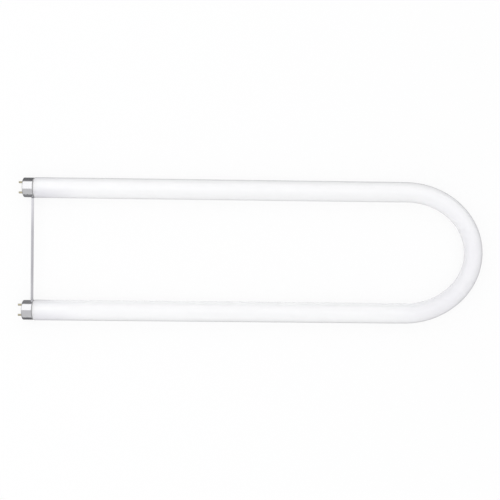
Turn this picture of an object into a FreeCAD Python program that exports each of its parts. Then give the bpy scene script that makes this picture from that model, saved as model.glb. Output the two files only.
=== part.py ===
import FreeCAD, Part
import math
import os

# A fluorescent lamp: one glass tube bent into a U, with a two-pin cap on each end and a brace
# strip from cap to cap. It lies flat on its glass.
# Millimetres. +Z is up, +X runs from the pins to the bend, and the two legs lie side by side along Y.
# The origin is on the surface that the lamp lies on, under the middle of its length and width.

# Glass tube
tube_diameter = 25.4          # one inch
leg_spacing = 152.4           # six inches, axis to axis
base_to_bend = 574.4          # cap face to the outside of the bend
bend_depth = 86.0             # on the centre line, from the start of the bend to its far point
bend_draw = 1.5               # how far the hot glass draws in at the far point, on the radius
draw_run_in = 30.0            # straight glass on each leg that draws in with the bend
shoulder_ease = 1.2           # where the glass turns in to its neck
seal_gap = 5.0                # free room between a pin plate and the end of the glass
seal_ease = 1.2               # melted edge of the glass end
bend_sections = 24            # sections drawn through the bend
run_in_sections = 4           # and through each run-in

# End caps
cap_length = 12.5
cap_inset = 0.5               # how far a cap stays inside the outline of the tube
cap_wall = 0.35
cap_corner = 0.8              # drawn corner between the face and the skirt
face_lip = 3.0                # ring of metal left round the opening in a cap's face

# Pin plates
plate_thickness = 1.2
seat_clearance = 0.05         # all round a plate, in the cap
shank_clearance = 0.03        # all round the shank of a pin, in the plate

# Contact pins
pin_spacing = 12.7            # half an inch
pin_diameter = 2.36
pin_length = 6.6              # from the cap's face to the tip
pin_tip_ease = 0.3
pin_shoulder = 0.18           # step from the pin to its shank, which bears on the plate
pin_head_height = 0.4         # head that locks the shank on the inside of the plate
pin_head_reach = 0.7

# Lead wires
wire_diameter = 0.8
wire_clearance = 0.1          # all round a wire, in the bore of its pin
wire_exit_spacing = 7.0       # where the two wires leave the glass
wire_lead_out = 1.2           # straight at the glass, before the first bend
wire_lead_in = 1.2            # straight behind the pin's head, after the second
wire_end_recess = 0.2         # how far the wire ends inside the tip of the pin

# Basing cement
cement_thickness = 0.5        # between the neck of the glass and the cap
cement_depth = 4.5            # how far it reaches into the cap
cement_line = 0.8             # what shows between the cap's rim and the glass

# Brace strip
brace_width = 3.2
brace_thickness = 0.6
brace_setback = 0.3           # from the rim of the cap to the strip
brace_bend = 1.2              # radius at mid thickness where the strip turns down into its foot
brace_wrap = 50.0             # degrees that a foot reaches down round its cap
brace_end_round = 0.8         # corners of the feet

# Places and sizes that follow
tube_radius = tube_diameter / 2
half_spacing = leg_spacing / 2
overall_length = base_to_bend + pin_length
axis_z = tube_radius
face_x = pin_length - overall_length / 2
bend_start_x = overall_length / 2 - (tube_radius - bend_draw) - bend_depth

cap_radius = tube_radius - cap_inset
cap_bore = cap_radius - cap_wall
inner_corner = cap_corner + (math.sqrt(2) - 1) * cap_wall
opening_radius = cap_radius - face_lip
plate_back = cap_wall + plate_thickness

pin_radius = pin_diameter / 2
shank_radius = pin_radius - pin_shoulder
wire_radius = wire_diameter / 2
pin_bore = wire_radius + wire_clearance

neck_radius = cap_bore - cement_thickness
shoulder_x = cap_length + cement_line
seal_x = plate_back + seal_gap

along = FreeCAD.Vector(1, 0, 0)
up = FreeCAD.Vector(0, 0, 1)
centre = FreeCAD.Vector(0, 0, 0)
near = 1e-4


def turned(*points):
    """A solid of revolution about the X axis, from (x, radius) corners."""
    corners = [FreeCAD.Vector(x, 0, radius) for x, radius in points]
    outline = Part.makePolygon(corners + corners[:1])
    return Part.Face(outline).revolve(centre, along, 360)


def at_leg(shape, side, across=0.0):
    """A copy moved from the cap's own axes to the leg on this side, and across it along Y."""
    moved = shape.copy()
    moved.translate(FreeCAD.Vector(face_x, side * half_spacing + across, axis_z))
    return moved


def bend_path():
    """Stations (x, y, heading in degrees) from one leg, round the bend, to the other."""
    run_in = []
    for step in range(run_in_sections):
        run_in.append((bend_start_x - draw_run_in * (1 - step / run_in_sections), half_spacing, 0.0))
    arch = []
    for step in range(bend_sections + 1):
        turn = math.pi * step / bend_sections
        x = bend_start_x + bend_depth * math.sin(turn)
        y = half_spacing * math.cos(turn)
        heading = math.atan2(-half_spacing * math.sin(turn), bend_depth * math.cos(turn))
        arch.append((x, y, math.degrees(heading)))
    run_out = [(x, -y, -180.0) for x, y, heading in reversed(run_in)]
    return run_in + arch + run_out


def glass_ring(x, y, heading, radius):
    """A round section of the glass, in four arcs, standing across the path."""
    arcs = [Part.makeCircle(radius, centre, up, start, start + 90) for start in (45, 135, 225, 315)]
    ring = Part.Wire(arcs)
    upright = FreeCAD.Rotation(FreeCAD.Vector(0, 1, 0), 90)
    turn = FreeCAD.Rotation(up, heading)
    ring.Placement = FreeCAD.Placement(FreeCAD.Vector(x, y, axis_z), turn.multiply(upright))
    return ring


def glass_bend():
    """The bend: round sections on a half ellipse, drawn in towards its far point."""
    stations = bend_path()
    run = [0.0]
    for here, there in zip(stations, stations[1:]):
        run.append(run[-1] + math.hypot(there[0] - here[0], there[1] - here[1]))
    rings = []
    for (x, y, heading), distance in zip(stations, run):
        drawn_in = bend_draw * math.sin(math.pi * distance / run[-1]) ** 2
        rings.append(glass_ring(x, y, heading, tube_radius - drawn_in))
    return Part.makeLoft(rings, True, False, False, 2)


def glass_leg():
    """A leg on the X axis: round tube, shoulder, neck and closed end."""
    leg_end = bend_start_x - draw_run_in - face_x
    shoulder = min(shoulder_ease, tube_radius - neck_radius)
    first = (1 - math.sqrt(0.5)) * shoulder
    return turned(
        (leg_end, 0),
        (leg_end, tube_radius),
        (shoulder_x + shoulder, tube_radius),
        (shoulder_x + first, tube_radius - first),
        (shoulder_x, tube_radius - shoulder),
        (shoulder_x, neck_radius),
        (seal_x + seal_ease, neck_radius),
        (seal_x, neck_radius - seal_ease),
        (seal_x, 0),
    )


def glass_tube():
    """The whole envelope, sealed and opaque: two legs and the bend in one solid."""
    leg = glass_leg()
    return glass_bend().fuse([at_leg(leg, 1), at_leg(leg, -1)]).removeSplitter()


def end_cap():
    """A drawn cup of even wall, open at its rim, with a round opening in its face."""
    return turned(
        (0, opening_radius),
        (0, cap_radius - cap_corner),
        (cap_corner, cap_radius),
        (cap_length, cap_radius),
        (cap_length, cap_bore),
        (inner_corner, cap_bore),
        (cap_wall, cap_radius - inner_corner),
        (cap_wall, opening_radius),
    )


def pin_plate():
    """An insulating disc behind the face lip, with a hole for the shank of each pin."""
    plate = Part.makeCylinder(cap_radius - inner_corner - seat_clearance, plate_thickness, centre, along)
    hole = Part.makeCylinder(shank_radius + shank_clearance, plate_thickness, centre, along)
    for place in (1, -1):
        plate = plate.cut(hole.translated(FreeCAD.Vector(0, place * pin_spacing / 2, 0)))
    return plate.translated(along * cap_wall)


def contact_pin():
    """A hollow pin with an eased tip: its shoulder bears on the plate, and a head locks its shank."""
    head_back = plate_back + pin_head_height
    tip = min(pin_tip_ease, 0.8 * (pin_radius - pin_bore))
    return turned(
        (-pin_length, pin_bore),
        (-pin_length, pin_radius - tip),
        (tip - pin_length, pin_radius),
        (cap_wall, pin_radius),
        (cap_wall, shank_radius),
        (plate_back, shank_radius),
        (plate_back, shank_radius + pin_head_reach),
        (head_back, shank_radius + pin_head_reach),
        (head_back, pin_bore),
    )


def lead_wire(place):
    """A wire from the glass to the tip of the pin at this side (1 or -1) of the cap's middle."""
    glass_y = place * wire_exit_spacing / 2
    pin_y = place * pin_spacing / 2
    points = [
        FreeCAD.Vector(seal_x, glass_y, 0),
        FreeCAD.Vector(seal_x - wire_lead_out, glass_y, 0),
        FreeCAD.Vector(plate_back + pin_head_height + wire_lead_in, pin_y, 0),
        FreeCAD.Vector(wire_end_recess - pin_length, pin_y, 0),
    ]
    section = Part.Wire(Part.makeCircle(wire_radius, points[0], along))
    return Part.makePolygon(points).makePipeShell([section], True, False, 1)


def basing_cement():
    """A ring between neck and cap, whose end shows as a narrow line past the rim."""
    return turned(
        (cap_length - cement_depth, neck_radius),
        (cap_length - cement_depth, cap_bore),
        (shoulder_x, cap_bore),
        (shoulder_x, neck_radius),
    )


def brace_side(offset):
    """Edges of one skin of the strip in the YZ plane, from mid lamp to the end of a foot.

    The offset is from mid thickness, positive on the skin that turns to lie against the cap.
    """
    cap_axis = FreeCAD.Vector(0, half_spacing, 0)
    foot = cap_radius + brace_thickness / 2
    turn_y = half_spacing - math.sqrt((foot + brace_bend) ** 2 - brace_bend ** 2)
    turn_axis = FreeCAD.Vector(0, turn_y, -brace_bend)
    to_cap = (cap_axis - turn_axis).normalize()

    def on_foot(angle):
        return cap_axis - FreeCAD.Vector(0, math.cos(angle), math.sin(angle)) * (foot - offset)

    foot_start = math.asin(brace_bend / (foot + brace_bend))
    foot_end = math.radians(brace_wrap)
    turn_start = turn_axis + up * (brace_bend + offset)
    turn_middle = turn_axis + (up + to_cap).normalize() * (brace_bend + offset)
    return [
        Part.makeLine(FreeCAD.Vector(0, 0, offset), turn_start),
        Part.Arc(turn_start, turn_middle, on_foot(foot_start)).toShape(),
        Part.Arc(on_foot(foot_start), on_foot((foot_start + foot_end) / 2), on_foot(foot_end)).toShape(),
    ]


def brace_strip():
    """One flat strip, turned down at each end into a foot that lies round the skirt of its cap."""
    against = brace_side(brace_thickness / 2)
    away = brace_side(-brace_thickness / 2)
    foot_tip = Part.makeLine(against[-1].Vertexes[-1].Point, away[-1].Vertexes[-1].Point)
    middle = Part.makeLine(against[0].Vertexes[0].Point, away[0].Vertexes[0].Point)
    outline = Part.Wire(Part.__sortEdges__(against + [foot_tip] + away + [middle]))
    half = Part.Face(outline).extrude(along * brace_width)
    tip_middle = (foot_tip.Vertexes[0].Point + foot_tip.Vertexes[1].Point) / 2
    corners = []
    for edge in half.Edges:
        gap = edge.CenterOfMass - tip_middle
        if abs(edge.Length - brace_thickness) < near and math.hypot(gap.y, gap.z) < near:
            corners.append(edge)
    half = half.makeFillet(min(brace_end_round, 0.45 * brace_width), corners)
    other = half.mirror(centre, FreeCAD.Vector(0, 1, 0))
    strip = half.fuse(other).removeSplitter()
    strip.translate(FreeCAD.Vector(face_x + cap_length - brace_setback - brace_width, 0, axis_z))
    return strip


pieces = {"glass_tube": glass_tube(), "brace_strip": brace_strip()}
for leg_name, side in (("a", 1), ("b", -1)):
    pieces["end_cap_" + leg_name] = at_leg(end_cap(), side)
    pieces["pin_plate_" + leg_name] = at_leg(pin_plate(), side)
    pieces["basing_cement_" + leg_name] = at_leg(basing_cement(), side)
    for place_name, place in (("outer", side), ("inner", -side)):
        pin_name = leg_name + "_" + place_name
        pieces["contact_pin_" + pin_name] = at_leg(contact_pin(), side, place * pin_spacing / 2)
        pieces["lead_wire_" + pin_name] = at_leg(lead_wire(place), side)

os.makedirs("parts", exist_ok=True)
for name, shape in pieces.items():
    shape.exportStep("parts/" + name + ".step")
    size = shape.optimalBoundingBox()
    print(f"{name}: {size.XLength:.2f} x {size.YLength:.2f} x {size.ZLength:.2f} mm, {shape.Volume:.1f} mm3")
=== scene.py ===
# %% [markdown]
# # A U-bent fluorescent lamp on a white table
# The lamp is one glass tube, bent once, with a bright metal cap on each end and a thin brace strip
# from cap to cap. Its solids come in as a fixed frame. This lesson gives the pieces that show their
# finished skins, and then lights them as a plain studio picture taken from above.

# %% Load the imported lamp
import math

import bmesh
import bpy
from mathutils import Matrix, Vector


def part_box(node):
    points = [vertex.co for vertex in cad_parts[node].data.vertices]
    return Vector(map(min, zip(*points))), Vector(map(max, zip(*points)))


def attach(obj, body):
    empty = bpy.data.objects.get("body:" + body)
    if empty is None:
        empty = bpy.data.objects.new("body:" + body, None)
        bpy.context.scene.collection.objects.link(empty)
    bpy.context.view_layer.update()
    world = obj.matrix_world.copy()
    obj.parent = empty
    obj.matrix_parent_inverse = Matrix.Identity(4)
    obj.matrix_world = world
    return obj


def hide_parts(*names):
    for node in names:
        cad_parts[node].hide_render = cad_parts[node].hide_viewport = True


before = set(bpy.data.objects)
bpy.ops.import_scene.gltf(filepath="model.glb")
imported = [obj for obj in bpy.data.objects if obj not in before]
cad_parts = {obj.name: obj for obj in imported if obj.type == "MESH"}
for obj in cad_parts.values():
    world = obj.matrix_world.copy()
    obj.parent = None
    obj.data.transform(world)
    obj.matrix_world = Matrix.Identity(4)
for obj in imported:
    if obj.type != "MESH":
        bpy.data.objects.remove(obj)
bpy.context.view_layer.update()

# %% [markdown]
# ## Sizes
# A skin has to lie exactly where its solid is. Most sizes can be read from the boxes of the solids,
# so they are read and not typed again. The shape of the bend doesn't show in a box: its depth, and how
# far the hot glass drew in, are given here.

# %% Read the sizes
MM = 0.001
glass_low, glass_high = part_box("glass_tube")
cap_low, cap_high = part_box("end_cap_a")
pin_low, pin_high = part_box("contact_pin_a_outer")
plate_low, plate_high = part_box("pin_plate_a")
cement_low, cement_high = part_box("basing_cement_a")
brace_low, brace_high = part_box("brace_strip")

tube_radius = glass_high.z / 2
axis_z = tube_radius
half_spacing = (cap_low.y + cap_high.y) / 2
cap_radius = (cap_high.z - cap_low.z) / 2
cement_radius = (cement_high.z - cement_low.z) / 2
half_pins = abs((pin_low.y + pin_high.y) / 2 - half_spacing)
bend_depth = 86.0 * MM
bend_draw = 1.5 * MM
draw_run_in = 30.0 * MM
bend_start_x = glass_high.x - (tube_radius - bend_draw) - bend_depth
print("tube radius", round(tube_radius / MM, 2), "leg spacing", round(2 * half_spacing / MM, 2), "mm")

# %% [markdown]
# ## From a bmesh to a piece
# Every new skin ends the same way: doubles are merged, the normals are turned outwards, round faces are
# shaded smooth up to a set angle, and the piece rides on the lamp's one body in place of its solid.

# %% Finish a piece
merge_reach = 0.001 * MM


def finish_piece(name, bm, nodes, sharp=35.0):
    """Makes an object of the bmesh, which stands for these nodes."""
    bmesh.ops.remove_doubles(bm, verts=bm.verts[:], dist=merge_reach)
    bmesh.ops.recalc_face_normals(bm, faces=bm.faces[:])
    mesh = bpy.data.meshes.new(name)
    bm.to_mesh(mesh)
    bm.free()
    for face in mesh.polygons:
        face.use_smooth = True
    mesh.set_sharp_from_angle(angle=math.radians(sharp))
    piece = bpy.data.objects.new(name, mesh)
    bpy.context.scene.collection.objects.link(piece)
    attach(piece, "root")
    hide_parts(*nodes)
    print(name, "faces:", len(mesh.polygons))
    return piece


# %% [markdown]
# ## The glass tube
# The real tube is a straight length of glass, heated in the middle, bent over a former, and closed at
# both ends. A curve with a round bevel could stand for it, but the radius has to shrink into the bend,
# where the glass was drawn, so one ring is extruded and walked from the end of one leg to the end of the
# other. Each station says where the ring stands, which way it faces and how wide it is.


# %% Stations along the tube
def ring_frame(x, y, heading, radius):
    """Where a circle of radius 1 stands across the path."""
    turn = Matrix.Rotation(heading, 4, "Z") @ Matrix.Rotation(math.pi / 2, 4, "Y")
    return Matrix.Translation((x, y, axis_z)) @ turn @ Matrix.Scale(radius, 4)


def bend_point(turn):
    """Place and heading on the half ellipse that the bend follows, for a turn from 0 to pi."""
    x = bend_start_x + bend_depth * math.sin(turn)
    y = half_spacing * math.cos(turn)
    heading = math.atan2(-half_spacing * math.sin(turn), bend_depth * math.cos(turn))
    return x, y, heading


run_in_steps = 12
bend_steps = 120
path = []
for step in range(run_in_steps):
    path.append((bend_start_x - draw_run_in * (1 - step / run_in_steps), half_spacing, 0.0))
path += [bend_point(math.pi * step / bend_steps) for step in range(bend_steps + 1)]
path += [(x, -y, -math.pi) for x, y, heading in reversed(path[:run_in_steps])]

travel = [0.0]
for here, there in zip(path, path[1:]):
    travel.append(travel[-1] + math.hypot(there[0] - here[0], there[1] - here[1]))
bend_rings = []
for (x, y, heading), distance in zip(path, travel):
    drawn_in = bend_draw * math.sin(math.pi * distance / travel[-1]) ** 2
    bend_rings.append((x, y, heading, tube_radius - drawn_in))
print("bend:", len(bend_rings), "rings over", round(travel[-1] / MM, 1), "mm of glass")

# %% [markdown]
# The end of each leg is a narrower neck inside the cap, with a soft shoulder where the full tube begins.
# The shoulder is a quarter circle, because the gas flame that closes the tube rounds every edge. Smooth
# shading blends from ring to ring, so a ring close behind the shoulder, and more along the leg, keep the
# straight glass from being shaded as if it were curved.

# %% Stations at an end
cement_wall = 0.5 * MM
neck_radius = cement_radius - cement_wall
shoulder_x = cement_high.x
shoulder_round = 1.2 * MM
seal_round = 1.2 * MM
round_steps = 6
leg_start_x = shoulder_x + shoulder_round
leg_run = bend_start_x - draw_run_in - leg_start_x
leg_steps = 40


def quarter_round(x, radius, size):
    """Places (x, radius) round a corner, from the face at x out to the full radius."""
    angles = [math.pi / 2 * step / round_steps for step in range(round_steps + 1)]
    return [(x + size * (1 - math.cos(angle)), radius - size * (1 - math.sin(angle))) for angle in angles]


end_rings = quarter_round(glass_low.x, neck_radius, seal_round)
end_rings.append((shoulder_x, neck_radius))
end_rings += quarter_round(shoulder_x, tube_radius, shoulder_round)
end_rings.append((leg_start_x + shoulder_round, tube_radius))
end_rings += [(leg_start_x + leg_run * step / leg_steps, tube_radius) for step in range(1, leg_steps)]
stations = [ring_frame(x, half_spacing, 0.0, radius) for x, radius in end_rings]
stations += [ring_frame(*ring) for ring in bend_rings]
stations += [ring_frame(x, -half_spacing, -math.pi, radius) for x, radius in reversed(end_rings)]
print("glass:", len(stations), "stations")


# %% Walk the ring
def walk_ring(bm, ring, frames):
    """Extrudes a closed ring of edges from frame to frame, and returns the last ring."""
    for here, there in zip(frames, frames[1:]):
        grown = bmesh.ops.extrude_edge_only(bm, edges=ring)["geom"]
        verts = {item for item in grown if isinstance(item, bmesh.types.BMVert)}
        edges = [item for item in grown if isinstance(item, bmesh.types.BMEdge)]
        ring = [edge for edge in edges if set(edge.verts) <= verts]
        move = there @ here.inverted()
        bmesh.ops.transform(bm, matrix=move, space=Matrix.Identity(4), verts=list(verts))
    return ring


tube_facets = 96
bm = bmesh.new()
bmesh.ops.create_circle(bm, cap_ends=True, segments=tube_facets, radius=1.0, matrix=stations[0])
last_ring = walk_ring(bm, bm.edges[:], stations)
bmesh.ops.contextual_create(bm, geom=last_ring)
glass = finish_piece("glass_envelope", bm, ["glass_tube"])

# %% [markdown]
# ## Turned pieces
# Caps and pins are turned or drawn, so they are round about one axis. Cylinders with bevelled edges could
# stand for them, but would have no wall and no bore. So a profile of a few points, with its corners rounded
# by a vertex bevel, is spun once about the axis of the leg. A full spin merges its seam. Long edges of the
# profile are cut before it, for the same reason as on the glass.

# %% Spin a profile
longest_edge = 1.0 * MM
corner_segments = 5


def spun(corners, rounds, y, steps):
    """A closed profile of (x, radius) corners, each eased by its own radius, spun about a line along X."""
    bm = bmesh.new()
    verts = [bm.verts.new((x, y, axis_z + radius)) for x, radius in corners]
    for here, there in zip(verts, verts[1:] + verts[:1]):
        bm.edges.new((here, there))
    for vert, radius in zip(verts, rounds):
        if radius:
            bmesh.ops.bevel(bm, geom=[vert], offset=radius, offset_type="OFFSET", segments=corner_segments,
                            profile=0.5, affect="VERTICES", material=-1, clamp_overlap=True)
    for edge in bm.edges[:]:
        cuts = int(edge.calc_length() / longest_edge)
        if cuts:
            bmesh.ops.subdivide_edges(bm, edges=[edge], cuts=cuts)
    bmesh.ops.spin(bm, geom=bm.verts[:] + bm.edges[:], cent=(0, y, axis_z), axis=(1, 0, 0),
                   dvec=(0, 0, 0), angle=2 * math.pi, steps=steps, use_merge=True, use_duplicate=False)
    return bm


# %% [markdown]
# ### End caps
# A cap is a cup drawn from thin aluminium. Its face has a round opening that a brown plate closes from
# behind, and its rim is cut square. The drawn corner is the one that catches the light.

# %% Make the caps
cap_wall = 0.35 * MM
cap_corner = 1.0 * MM
face_lip = 3.0 * MM
outer_ease = 0.12 * MM
inner_ease = 0.05 * MM
cap_facets = 96
cap_corners = [
    (cap_low.x, cap_radius - face_lip),
    (cap_low.x, cap_radius),
    (cap_high.x, cap_radius),
    (cap_high.x, cap_radius - cap_wall),
    (cap_low.x + cap_wall, cap_radius - cap_wall),
    (cap_low.x + cap_wall, cap_radius - face_lip),
]
cap_rounds = [outer_ease, cap_corner, outer_ease, inner_ease, cap_corner - cap_wall, inner_ease]
caps = []
for leg, side in (("a", 1), ("b", -1)):
    bm = spun(cap_corners, cap_rounds, side * half_spacing, cap_facets)
    caps.append(finish_piece("cap_" + leg, bm, ["end_cap_" + leg]))

# %% [markdown]
# ### Contact pins
# A pin is a short brass tube. Its shoulder bears on the plate, its shank goes through, and a head is
# pressed out behind. The tip is closed in round the wire, so its rounded edge is what shows.

# %% Make the pins
pin_radius = 1.18 * MM
shank_radius = 1.0 * MM
head_radius = (pin_high.z - pin_low.z) / 2
bore_radius = 0.5 * MM
bore_ease = 0.08 * MM
tip_round = 0.42 * MM
head_round = 0.15 * MM
pin_facets = 40
pin_corners = [
    (pin_low.x, bore_radius),
    (pin_low.x, pin_radius),
    (plate_low.x, pin_radius),
    (plate_low.x, shank_radius),
    (plate_high.x, shank_radius),
    (plate_high.x, head_radius),
    (pin_high.x, head_radius),
    (pin_high.x, bore_radius),
]
pin_rounds = [bore_ease, tip_round, 0, 0, 0, inner_ease, head_round, inner_ease]
pins = []
for leg, side in (("a", 1), ("b", -1)):
    for place, way in (("outer", side), ("inner", -side)):
        bm = spun(pin_corners, pin_rounds, side * half_spacing + way * half_pins, pin_facets)
        name = leg + "_" + place
        pins.append(finish_piece("pin_" + name, bm, ["contact_pin_" + name]))

# %% [markdown]
# ## The brace strip
# A flat strip keeps the two legs apart. It is cut from rolled steel, turned down at each end, and its feet
# lie round the skirts of the caps. A curve with a flat bevel could make it, but a small rectangle that is
# walked along the strip's line, as the ring was, keeps its thickness exact through the turns. That makes
# half of it, and a mirror the other half. Its long edges are eased a little, as shears leave them.

# %% Walk half of the strip
brace_width = brace_high.x - brace_low.x
brace_middle_x = (brace_high.x + brace_low.x) / 2
brace_thickness = 0.6 * MM
brace_bend = 1.2 * MM
brace_wrap = math.radians(50.0)
foot_radius = cap_radius + brace_thickness / 2
foot_start = math.asin(brace_bend / (foot_radius + brace_bend))
turn_y = half_spacing - math.sqrt((foot_radius + brace_bend) ** 2 - brace_bend ** 2)


def strip_frame(y, z, heading):
    """Where the strip's cross-section stands. A heading of 0 is along +Y, and a negative one is down."""
    return Matrix.Translation((brace_middle_x, y, axis_z + z)) @ Matrix.Rotation(heading, 4, "X")


straight_steps = 20
strip_frames = [strip_frame(turn_y * step / straight_steps, 0.0, 0.0) for step in range(straight_steps)]
turn_steps = 10
for step in range(turn_steps + 1):
    turn = (math.pi / 2 - foot_start) * step / turn_steps
    y = turn_y + brace_bend * math.sin(turn)
    z = brace_bend * (math.cos(turn) - 1)
    strip_frames.append(strip_frame(y, z, -turn))
foot_steps = 14
for step in range(1, foot_steps + 1):
    angle = foot_start + (brace_wrap - foot_start) * step / foot_steps
    y = half_spacing - foot_radius * math.cos(angle)
    z = -foot_radius * math.sin(angle)
    strip_frames.append(strip_frame(y, z, angle - math.pi / 2))
print("brace:", len(strip_frames), "stations for each half")

# %% Close, round and mirror the strip
bm = bmesh.new()
half_width = brace_width / 2
half_thick = brace_thickness / 2
foot_corner = 0.8 * MM
shear_ease = 0.08 * MM
section = [bm.verts.new(strip_frames[0] @ Vector((x, 0, z)))
           for x, z in ((-half_width, -half_thick), (half_width, -half_thick),
                        (half_width, half_thick), (-half_width, half_thick))]
ring = [bm.edges.new((here, there)) for here, there in zip(section, section[1:] + section[:1])]
foot_tip = walk_ring(bm, ring, strip_frames)
bmesh.ops.contextual_create(bm, geom=foot_tip)
tip_corners = [edge for edge in foot_tip if edge.calc_length() < brace_width / 2]
bmesh.ops.bevel(bm, geom=tip_corners, offset=foot_corner, offset_type="OFFSET", segments=6, profile=0.5,
                affect="EDGES", material=-1, clamp_overlap=True)
half_strip = bm.verts[:] + bm.edges[:] + bm.faces[:]
bmesh.ops.mirror(bm, geom=half_strip, matrix=Matrix.Identity(4), merge_dist=merge_reach, axis="Y")
bmesh.ops.recalc_face_normals(bm, faces=bm.faces[:])
shared_edges = [edge for edge in bm.edges if len(edge.link_faces) == 2]
sheared_edges = [edge for edge in shared_edges if edge.calc_face_angle() > math.radians(60)]
bmesh.ops.bevel(bm, geom=sheared_edges, offset=shear_ease, offset_type="OFFSET", segments=2, profile=0.5,
                affect="EDGES", material=-1, clamp_overlap=True)
brace = finish_piece("brace", bm, ["brace_strip"], sharp=50.0)

# %% [markdown]
# ## Shader maths
# A finish is a small graph of nodes. Writing it as arithmetic keeps it readable: a reading wraps a socket,
# and adding or multiplying readings adds Math nodes. All other nodes come from one method.


# %% Readings
class Reading:
    """A value on a surface. Arithmetic with it adds Math nodes."""

    def __init__(self, finish, socket):
        self.finish = finish
        self.socket = socket

    def maths(self, operation, first, second):
        return self.finish.node("ShaderNodeMath", {"operation": operation}, {0: first, 1: second})

    def __add__(self, other):
        return self.maths("ADD", self, other)

    def __radd__(self, other):
        return self.maths("ADD", other, self)

    def __sub__(self, other):
        return self.maths("SUBTRACT", self, other)

    def __rsub__(self, other):
        return self.maths("SUBTRACT", other, self)

    def __mul__(self, other):
        return self.maths("MULTIPLY", self, other)

    def __rmul__(self, other):
        return self.maths("MULTIPLY", other, self)


# %% Finishes
nodes_in_a_row = 6
node_width = 220
node_height = 180


class Finish:
    """A material, with the nodes that its look is made of."""

    def __init__(self, name):
        self.material = bpy.data.materials.new(name)
        self.material.use_nodes = True
        self.tree = self.material.node_tree
        self.shader = self.tree.nodes["Principled BSDF"]
        self.count = 0

    def feed(self, socket, value):
        if isinstance(value, Reading):
            self.tree.links.new(value.socket, socket)
        else:
            socket.default_value = value

    def node(self, kind, settings, sockets, output=0):
        """Adds a node: its settings first, then its sockets' values or links."""
        made = self.tree.nodes.new(kind)
        row, column = divmod(self.count, nodes_in_a_row)
        made.location = (-node_width * (1 + column), -node_height * row)
        self.count += 1
        for name, setting in settings.items():
            setattr(made, name, setting)
        for key, value in sockets.items():
            self.feed(made.inputs[key], value)
        return Reading(self, made.outputs[output])

    def place(self):
        return self.node("ShaderNodeTexCoord", {}, {}, "Object")

    def along(self, axis):
        return self.node("ShaderNodeSeparateXYZ", {}, {0: self.place()}, axis)

    def grain(self, scale, detail=2.0, roughness=0.5):
        """Noise from 0 to 1, with a scale for each axis in cells a metre."""
        spread = self.node("ShaderNodeVectorMath", {"operation": "MULTIPLY"}, {0: self.place(), 1: scale})
        return self.node("ShaderNodeTexNoise", {}, {"Vector": spread, "Scale": 1.0, "Detail": detail,
                                                    "Roughness": roughness}, "Fac")

    def rise(self, reading, start, end):
        """A smooth step from 0 at start to 1 at end."""
        return self.node("ShaderNodeMapRange", {"interpolation_type": "SMOOTHSTEP"},
                         {"Value": reading, "From Min": start, "From Max": end})

    def mix(self, factor, first, second):
        """A colour between two colours."""
        return self.node("ShaderNodeMix", {"data_type": "RGBA"}, {0: factor, 6: first, 7: second}, 2)

    def bump(self, height, distance):
        """A tilt of the surface, from a height of 0 to 1 times a distance."""
        return self.node("ShaderNodeBump", {}, {"Height": height, "Distance": distance, "Strength": 1.0})

    def set(self, **sockets):
        """Feeds the shader's sockets, with _ for each space in a name."""
        for name, value in sockets.items():
            self.feed(self.shader.inputs[name.replace("_", " ")], value)


def dress(finish, *objects):
    """Puts a finish on objects, in place of any that they have."""
    for item in objects:
        item.data.materials.clear()
        item.data.materials.append(finish.material)
    print(finish.material.name, "on", len(objects), "with", len(finish.tree.nodes), "nodes")


# %% [markdown]
# ## Glass and phosphor
# Clear glass over white powder could be two walls, one inside the other. From outside it looks like a white
# body under a sharp gloss, and a coat gives that on one wall. Light wanders a few millimetres in it, so
# subsurface scattering softens its shade. The powder was poured in as a slurry and drained along the tube,
# so it has faint long streaks and a soft mottling. Near the caps the glass is painted greyer away from a
# line a little to the +Y side of the axis, where the highlight falls: that is painted shade. In the bend
# the powder was stretched with the hot glass, so it is thinner and the glass looks greyer there, and it is
# painted greyer still towards leg b, as painted shade on the side away from the light.

# %% Dress the glass
shade_length_at_caps = 75 * MM
lit_line_offset = 0.3 * tube_radius
stretch_and_shade_at_b = 0.5
stretch_at_a = 0.1
powder = Finish("phosphor_glass")
x_along = powder.along("X")
y_along = powder.along("Y")
from_axis = y_along - half_spacing * y_along.maths("SIGN", y_along, 0.0)
# Painted shade near the caps: the glass turns greyer away from the line where the highlight falls.
from_lit_line = from_axis - lit_line_offset
off_lit_line = powder.rise(from_lit_line.maths("ABSOLUTE", from_lit_line, 0.0), 0.0, tube_radius)
shade_near_cap = off_lit_line * (1 - powder.rise(x_along, shoulder_x, shoulder_x + shade_length_at_caps))
# The bend is greyer where the powder was stretched thin, and greyer still towards leg b, which is painted
# shade.
in_bend = powder.rise(x_along, bend_start_x - draw_run_in, bend_start_x + bend_depth / 2)
to_leg_a = powder.rise(y_along, 0.0, half_spacing)
stretched_and_shaded = in_bend * (stretch_and_shade_at_b - (stretch_and_shade_at_b - stretch_at_a) * to_leg_a)
streaks = powder.grain((9.0, 260.0, 260.0), detail=3.0)
mottle = powder.grain((90.0, 90.0, 90.0), detail=4.0)
uneven = 0.5 * streaks + 0.5 * mottle
powder_white = powder.mix(uneven, (0.90, 0.90, 0.91, 1), (0.945, 0.945, 0.95, 1))
# This grey serves both the thinner stretched powder in the bend and the painted shade.
thin_and_shaded_powder = powder.mix(uneven, (0.765, 0.76, 0.785, 1), (0.81, 0.805, 0.83, 1))
powder.set(Base_Color=powder.mix(shade_near_cap + stretched_and_shaded, powder_white, thin_and_shaded_powder),
           Roughness=0.35 + 0.2 * mottle,
           Coat_Weight=1.0, Coat_Roughness=0.03, Coat_IOR=1.5, Specular_IOR_Level=0.2,
           Subsurface_Weight=1.0, Subsurface_Radius=(1.0, 1.0, 1.0), Subsurface_Scale=8 * MM,
           Normal=powder.bump(powder.grain((35.0, 35.0, 35.0)), 0.01 * MM))
dress(powder, glass)
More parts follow.
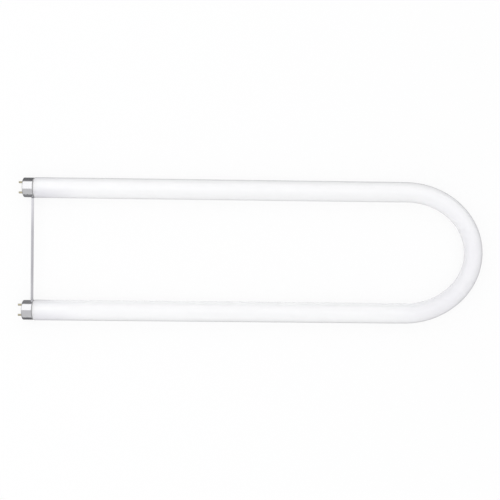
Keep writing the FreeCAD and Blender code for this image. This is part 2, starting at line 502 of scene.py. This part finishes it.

# %% [markdown]
# ## Bright metals
# Drawing a cup leaves fine lines round it. Real grooves would need far too many faces, so the lines are a
# noise that is stretched round the axis: it changes quickly along X and slowly otherwise. They vary the
# roughness and tilt the surface very little. The round corner of a cap is scuffed and rougher, because it
# meets the lampholder first, and its colour is painted darker there, as painted shade that outlines the
# corner.

# %% Dress the caps
drawn = Finish("cap_aluminium")
rings = drawn.grain((5200.0, 70.0, 70.0))
handled = drawn.grain((160.0, 160.0, 160.0), detail=4.0)
scuffs = drawn.grain((1100.0, 1100.0, 1100.0), detail=5.0)
# Painted shade: the corner's colour is darker, while its scuffs are real wear in the roughness.
worn_and_shaded_corner = 1 - drawn.rise(drawn.along("X"), cap_low.x, cap_low.x + 2 * cap_corner)
bright_skirt = drawn.mix(handled, (0.86, 0.86, 0.87, 1), (0.93, 0.93, 0.94, 1))
dull_shaded_corner = drawn.mix(handled, (0.62, 0.62, 0.63, 1), (0.70, 0.70, 0.71, 1))
drawn.set(Base_Color=drawn.mix(worn_and_shaded_corner, bright_skirt, dull_shaded_corner), Metallic=1.0,
          Roughness=0.07 + 0.07 * rings + 0.06 * handled + 0.2 * worn_and_shaded_corner * scuffs,
          Normal=drawn.bump(rings, 0.004 * MM))
dress(drawn, *caps)

# %% [markdown]
# The strip has such lines along its length, from the rolling mill. Its ends are painted lighter and its
# middle darker, as painted reflection. One mask along Y blends the two greys.

# %% Dress the brace
rolled = Finish("brace_steel")
mill_lines = rolled.grain((4200.0, 40.0, 1500.0))
dulled = rolled.grain((140.0, 70.0, 140.0), detail=4.0)
strip_y = rolled.along("Y")
# Painted reflection: the strip is lighter towards its ends and darker in the middle.
lighter_ends = rolled.rise(strip_y.maths("ABSOLUTE", strip_y, 0.0), half_spacing / 4, half_spacing * 3 / 4)
darker_middle_grey = rolled.mix(dulled, (0.46, 0.455, 0.48, 1), (0.54, 0.535, 0.56, 1))
lighter_end_grey = rolled.mix(dulled, (0.60, 0.595, 0.62, 1), (0.68, 0.675, 0.70, 1))
rolled.set(Base_Color=rolled.mix(lighter_ends, darker_middle_grey, lighter_end_grey), Metallic=1.0,
           Roughness=0.2 + 0.12 * mill_lines + 0.08 * dulled,
           Normal=rolled.bump(mill_lines, 0.003 * MM))
dress(rolled, brace)

# %% [markdown]
# The pins are turned from brass, so a tool left its lines round them, and the air has tarnished them in
# small spots. The spots change the colour only, because tarnish has no depth that can be seen.

# %% Dress the pins
turned_brass = Finish("pin_brass")
tool_lines = turned_brass.grain((6000.0, 300.0, 300.0))
tarnish = turned_brass.grain((700.0, 700.0, 700.0), detail=4.0)
spotted_brass = turned_brass.mix(tarnish, (0.51, 0.45, 0.29, 1), (0.71, 0.65, 0.48, 1))
turned_brass.set(Base_Color=spotted_brass, Metallic=1.0,
                 Roughness=0.22 + 0.15 * tool_lines,
                 Normal=turned_brass.bump(tool_lines, 0.004 * MM))
dress(turned_brass, *pins)

# %% [markdown]
# ## What shows only a little
# The plates are hard brown paper board with fibres in it, the cement is a baked paste that shows as a dark
# line at each rim, and the wires are nickel. The cement's dark grey is partly its own colour and partly
# painted shade for the gap between cap and glass. Their solids are right as they are, so only their finish
# is new.

# %% Dress plates, cement and wires
board = Finish("plate_phenolic")
fibres = board.grain((900.0, 900.0, 260.0), detail=5.0, roughness=0.65)
board.set(Base_Color=board.mix(fibres, (0.20, 0.12, 0.07, 1), (0.40, 0.28, 0.18, 1)),
          Roughness=0.45 + 0.3 * fibres,
          Normal=board.bump(fibres, 0.04 * MM))
dress(board, *[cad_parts["pin_plate_" + leg] for leg in "ab"])

cement_and_gap_shade = Finish("basing_cement")
crumbs = cement_and_gap_shade.grain((2200.0, 2200.0, 2200.0), detail=4.0, roughness=0.6)
# The cement's dark grey is partly painted shade for the gap at the rim.
cement_and_gap_shade.set(Base_Color=cement_and_gap_shade.mix(crumbs, (0.25, 0.245, 0.25, 1), (0.42, 0.415, 0.42, 1)),
          Roughness=0.7 + 0.25 * crumbs,
          Normal=cement_and_gap_shade.bump(crumbs, 0.08 * MM))
dress(cement_and_gap_shade, *[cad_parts["basing_cement_" + leg] for leg in "ab"])

nickel = Finish("lead_nickel")
drawn_wire = nickel.grain((400.0, 3000.0, 3000.0))
nickel.set(Base_Color=nickel.mix(drawn_wire, (0.54, 0.52, 0.49, 1), (0.68, 0.66, 0.63, 1)), Metallic=1.0,
           Roughness=0.25 + 0.2 * drawn_wire,
           Normal=nickel.bump(drawn_wire, 0.003 * MM))
wire_names = ["lead_wire_" + leg + "_" + place for leg in "ab" for place in ("outer", "inner")]
dress(nickel, *[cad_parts[name] for name in wire_names])

# %% [markdown]
# ## The table
# The lamp lies on a white table. For the camera, and for reflections of the table, most of its white is a
# plain strength of 1, so the background is white without more light on the lamp. The rest is a painted
# surface that keeps the lamp's soft shadow. Metres away the white falls to the grey of the room, so a low
# view shows a soft background and no table edge.


# %% Make a flat sheet
def flat_sheet(name, half_x, half_y, centre, turn=None):
    """A flat sheet, which is part of the stage."""
    bm = bmesh.new()
    lay = Matrix.Translation(centre) @ (turn or Matrix.Identity(4))
    stretch = Matrix.Diagonal((half_x, half_y, 1, 1))
    bmesh.ops.create_grid(bm, x_segments=1, y_segments=1, size=1.0, matrix=lay @ stretch)
    mesh = bpy.data.meshes.new(name)
    bm.to_mesh(mesh)
    bm.free()
    sheet = bpy.data.objects.new(name, mesh)
    bpy.context.scene.collection.objects.link(sheet)
    return sheet


# %% Make the table
room_grey = (0.57, 0.57, 0.58, 1)
table_reach = 8.0
table_drop = 0.2 * MM
white_reach = 1.2
grey_reach = 7.5
glow_share = 0.85
table = flat_sheet("table", table_reach, table_reach, (0, 0, -table_drop))
paint = Finish("table_white")
camera_ray = paint.node("ShaderNodeLightPath", {}, {}, "Is Camera Ray")
glossy_ray = paint.node("ShaderNodeLightPath", {}, {}, "Is Glossy Ray")
clear_ray = paint.node("ShaderNodeLightPath", {}, {}, "Is Transmission Ray")
away = paint.node("ShaderNodeVectorMath", {"operation": "LENGTH"}, {0: paint.place()}, "Value")
near_glow = paint.node("ShaderNodeEmission", {}, {"Color": (1, 1, 1, 1), "Strength": 1.0})
far_glow = paint.node("ShaderNodeEmission", {}, {"Color": room_grey, "Strength": 1.0})
far_off = paint.rise(away, white_reach, grey_reach)
glow = paint.node("ShaderNodeMixShader", {}, {0: far_off, 1: near_glow, 2: far_glow})
mirrored = glossy_ray.maths("MAXIMUM", glossy_ray, clear_ray)
seen = camera_ray.maths("MAXIMUM", camera_ray, mirrored)
matt_white = paint.mix(seen, (0.86, 0.86, 0.86, 1), (0.93, 0.93, 0.93, 1))
paint.set(Base_Color=matt_white, Roughness=0.9, Specular_IOR_Level=0.0)
painted = Reading(paint, paint.shader.outputs[0])
both = paint.node("ShaderNodeMixShader", {}, {0: glow_share * seen, 1: painted, 2: glow})
paint.feed(paint.tree.nodes["Material Output"].inputs["Surface"], both)
dress(paint, table)

# %% [markdown]
# ## Light
# Two very large softboxes, one on each side, light the lamp evenly in a room of even grey. Round metal and
# glass show what hangs round them, so two panels are there for reflections and light nothing else. The far
# one hangs close above the lamp, from straight up to near the horizon, and gives each cap a white half and
# a grey half. The weaker one at the pin end gives the inside of the bend a soft line, and the caps a pale
# band when they are seen from the bend.

# %% Make the room
world = bpy.data.worlds.new("room")
world.use_nodes = True
bpy.context.scene.world = world
room = world.node_tree.nodes["Background"]
room.inputs["Color"].default_value = room_grey
room.inputs["Strength"].default_value = 1.0
print("room grey", room_grey[:3])


# %% Make a hanging light
def hang_light(name, towards, low, high, width, distance, radiance):
    """An even rectangle that faces the lamp. Angles are in degrees: towards is round from +X, and low and
    high are its two edges from straight up."""
    middle = math.radians(low + high) / 2
    reach = 2 * distance * math.tan(math.radians(high - low) / 2)
    light = bpy.data.lights.new(name, "AREA")
    light.shape = "RECTANGLE"
    light.size = reach
    light.size_y = width
    light.energy = radiance * math.pi * width * reach
    hung = bpy.data.objects.new(name, light)
    hung.rotation_euler = (0, middle, math.radians(towards))
    hung.location = hung.rotation_euler.to_matrix() @ Vector((0, 0, distance))
    hung.visible_camera = False
    bpy.context.scene.collection.objects.link(hung)
    print(name, round(reach, 2), "x", round(width, 2), "m,", round(light.energy, 1), "W")
    return hung


# %% Hang the lights
for name, towards in (("softbox_far", 105), ("softbox_near", -105)):
    softbox = hang_light(name, towards, low=-1, high=76, width=3.6, distance=1.5, radiance=0.56)
    softbox.visible_glossy = False
far_panel = hang_light("far_panel", 90, low=-8, high=70, width=3.6, distance=0.36, radiance=0.5)
end_panel = hang_light("end_panel", 180, low=38, high=74, width=1.6, distance=1.5, radiance=0.25)
for panel in (far_panel, end_panel):
    panel.visible_diffuse = False

# %% [markdown]
# Dark cards lie under the lamp and stand beyond it, for reflections only. They draw the dark edge that
# tells round metal and glass from a white table. Between the legs the card is paler, as a white tube is
# close there.

# %% Colour the cards
cap_fade = 20 * MM
soft_edge = 0.1
felt = Finish("card_felt")
across = felt.along("Y")
along = felt.along("X")
past_caps = felt.rise(along, shoulder_x, shoulder_x + cap_fade)
past_legs = felt.rise(along, bend_start_x, bend_start_x + bend_depth)
ahead = (along - bend_start_x) * (1 / bend_depth)
ahead = ahead.maths("MAXIMUM", ahead, 0.0)
aside = across * (1 / half_spacing)
inside = 1 - felt.rise(ahead * ahead + aside * aside, 1 - soft_edge, 1 + soft_edge)
dark = felt.mix(inside, (0.15, 0.15, 0.155, 1), (0.23, 0.23, 0.235, 1))
side_of_a = felt.rise(across, -half_spacing, half_spacing)
pale = felt.mix(side_of_a, (0.95, 0.95, 0.95, 1), (0.36, 0.36, 0.36, 1))
pale_to_bend = felt.mix(past_legs, pale, (0.9, 0.9, 0.9, 1))
felt.set(Base_Color=felt.mix(inside * past_caps, dark, pale_to_bend),
         Roughness=1.0, Specular_IOR_Level=0.0)

# %% Lay the cards
card_rise = 0.3 * MM
lying_half_length = 0.8
lying_half_width = 0.45
lying_centre = (0.25, 0, card_rise)
standing_half_length = 0.52
standing_half_height = 45 * MM
standing_centre = (0, lying_half_width, card_rise + standing_half_height)
stand_up = Matrix.Rotation(math.pi / 2, 4, "X")
lying_card = flat_sheet("lying_card", lying_half_length, lying_half_width, lying_centre)
standing_card = flat_sheet("standing_card", standing_half_length, standing_half_height,
                           standing_centre, stand_up)
dress(felt, lying_card, standing_card)
for card in (lying_card, standing_card):
    card.visible_camera = False
    card.visible_diffuse = False
    card.visible_transmission = False
    card.visible_shadow = False

# %% [markdown]
# ## Camera
# The picture is taken from nearly straight above, about a metre away, and turned by less than a degree.
# The camera's place was fitted to the edges of the legs, the pins and the bend in the photograph.

# %% Place the camera
bpy.context.scene.view_settings.view_transform = "Standard"
camera_data = bpy.data.cameras.new("camera")
camera_data.sensor_width = 36.0
camera_data.lens = 57.6
camera = bpy.data.objects.new("camera", camera_data)
camera.location = (-0.02489, 0.01764, 1.01445)
camera.rotation_euler = (-0.01639, -0.02247, 0.01164)
bpy.context.scene.collection.objects.link(camera)
bpy.context.scene.camera = camera
print("camera height", round(camera.location.z, 3), "m")
